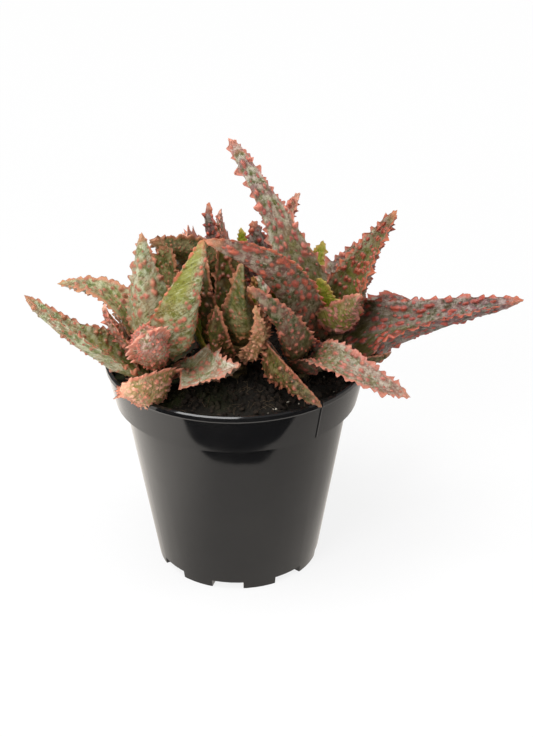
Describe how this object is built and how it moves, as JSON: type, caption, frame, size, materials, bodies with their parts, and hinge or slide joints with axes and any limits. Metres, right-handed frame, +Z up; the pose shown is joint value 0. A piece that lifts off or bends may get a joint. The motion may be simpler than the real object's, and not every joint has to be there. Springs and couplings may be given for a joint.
{
  "type": "potted aloe",
  "caption": "Clumping aloe with fleshy, tapering, warty and toothed leaves on short stems, rooted in compost in a round, tapered plastic nursery pot.",
  "frame": {"origin": "centre of the pot's foot, on the surface that it stands on", "axes": "+Z up along the pot's axis, -Y towards the front of the plant, +X to its right, along its longest leaf"},
  "size_m": [0.219, 0.15, 0.207],
  "materials": {
    "pot_plastic": "smooth glossy black, injection moulded",
    "compost": null,
    "stem_skin": "dry, papery stem skin",
    "leaf_skin": null
  },
  "bodies": {
    "root": {"pot": "pot_plastic", "compost": "compost", "left_stem": "stem_skin", "right_stem": "stem_skin", "middle_stem": "stem_skin", "front_stem": "stem_skin", "back_stem": "stem_skin", "left_leaf_tall": "leaf_skin", "left_leaf_pale": "leaf_skin", "left_leaf_folded": "leaf_skin", "left_leaf_reaching": "leaf_skin", "left_leaf_ball": "leaf_skin", "left_leaf_over_rim": "leaf_skin", "left_leaf_far": "leaf_skin", "left_leaf_short": "leaf_skin", "left_leaf_behind": "leaf_skin", "left_leaf_rear": "leaf_skin", "right_leaf_tower": "leaf_skin", "right_leaf_arching": "leaf_skin", "right_leaf_long": "leaf_skin", "right_leaf_upper": "leaf_skin", "right_leaf_behind": "leaf_skin", "right_leaf_heart": "leaf_skin", "right_leaf_small": "leaf_skin", "right_leaf_low": "leaf_skin", "right_leaf_lime": "leaf_skin", "front_leaf_hanging": "leaf_skin", "front_leaf_rim": "leaf_skin", "front_leaf_curled": "leaf_skin", "middle_leaf_dark": "leaf_skin", "middle_leaf_second": "leaf_skin", "middle_leaf_dry": "leaf_skin", "middle_leaf_low": "leaf_skin", "middle_leaf_lime": "leaf_skin", "middle_leaf_right": "leaf_skin", "middle_leaf_inner": "leaf_skin", "middle_leaf_rear": "leaf_skin", "back_leaf_broad": "leaf_skin", "back_leaf_vertical": "leaf_skin", "back_leaf_dark": "leaf_skin", "back_leaf_pink": "leaf_skin", "back_leaf_fresh": "leaf_skin", "back_leaf_narrow": "leaf_skin", "back_leaf_cluster": "leaf_skin", "back_leaf_inner": "leaf_skin", "back_leaf_left": "leaf_skin", "back_leaf_rear": "leaf_skin", "back_leaf_right": "leaf_skin", "right_leaf_rear": "leaf_skin", "left_leaf_back": "leaf_skin"}
  },
  "joints": []
}
